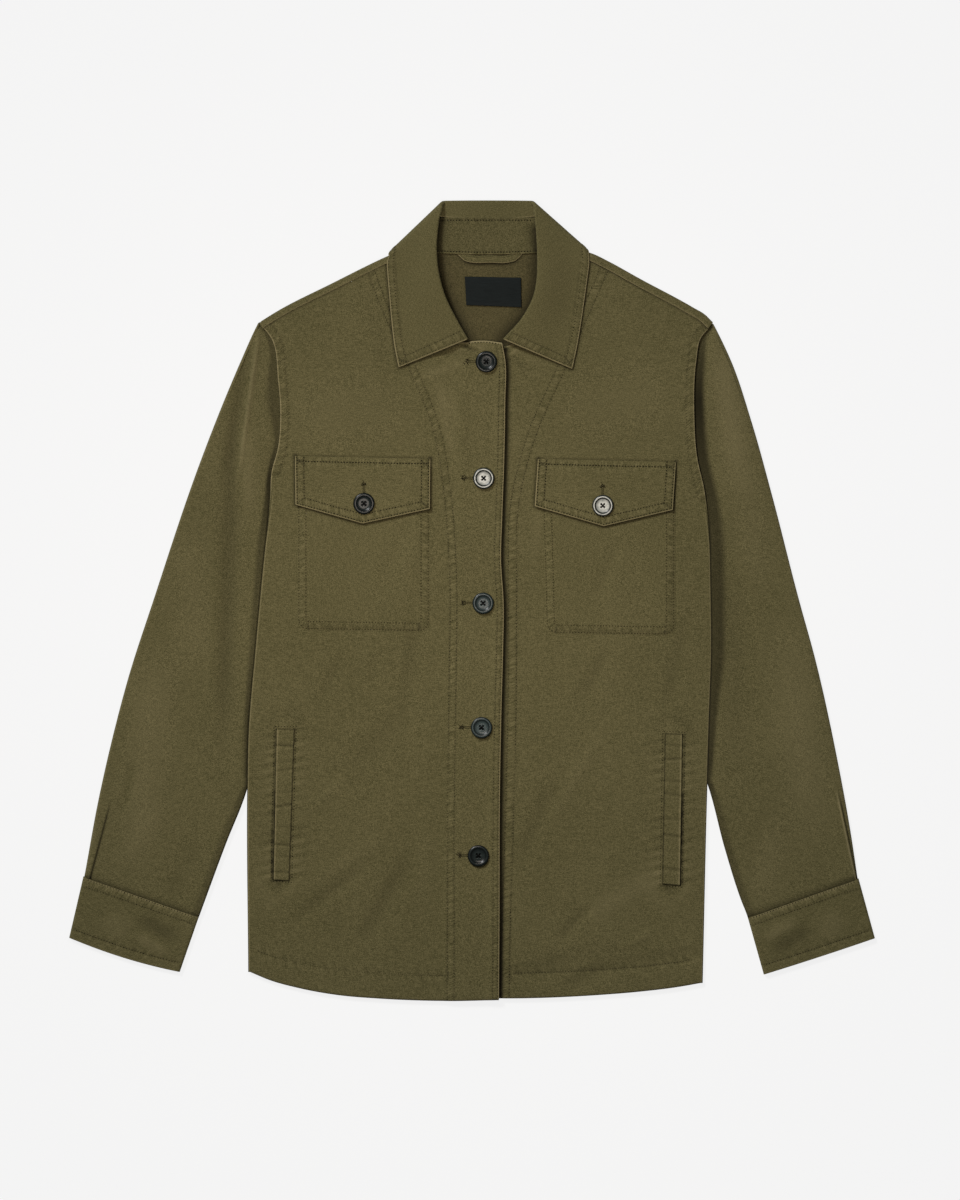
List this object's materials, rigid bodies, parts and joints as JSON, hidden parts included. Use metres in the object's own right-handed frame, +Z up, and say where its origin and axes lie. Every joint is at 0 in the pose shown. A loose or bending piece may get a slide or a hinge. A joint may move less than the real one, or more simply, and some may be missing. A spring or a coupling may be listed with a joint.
{
  "type": "button-front overshirt jacket",
  "caption": "Collared cotton twill overshirt jacket with flap chest pockets, welt hand pockets and cuffs, buttoned up and laid flat on its back.",
  "frame": {"origin": "middle of the outline on the surface the jacket lies on", "axes": "+X to the wearer's left, +Y from the hem to the collar, +Z up out of the fronts"},
  "size_m": [0.7648, 0.7601, 0.0145],
  "materials": {
    "twill": "matt khaki-olive cotton twill",
    "label": "smooth black woven label, blank",
    "dark_button": "glossy dark green-grey",
    "grey_button": "glossy blue-grey",
    "pale_button": "glossy pale horn grey with a dark rim"
  },
  "bodies": {
    "root": {"back": "twill", "front_right": "twill", "front_left": "twill", "sleeve_right": "twill", "sleeve_left": "twill", "cuff_right": "twill", "cuff_left": "twill", "collar_stand": "twill", "collar_fall": "twill", "chest_pocket_right": "twill", "chest_pocket_left": "twill", "pocket_flap_right": "twill", "pocket_flap_left": "twill", "welt_right": "twill", "welt_left": "twill", "hanger_loop": "twill", "neck_label": "label", "button_front_1": "dark_button", "button_front_2": "pale_button", "button_front_3": "grey_button", "button_front_4": "grey_button", "button_front_5": "dark_button", "button_flap_right": "dark_button", "button_flap_left": "pale_button"}
  },
  "joints": []
}
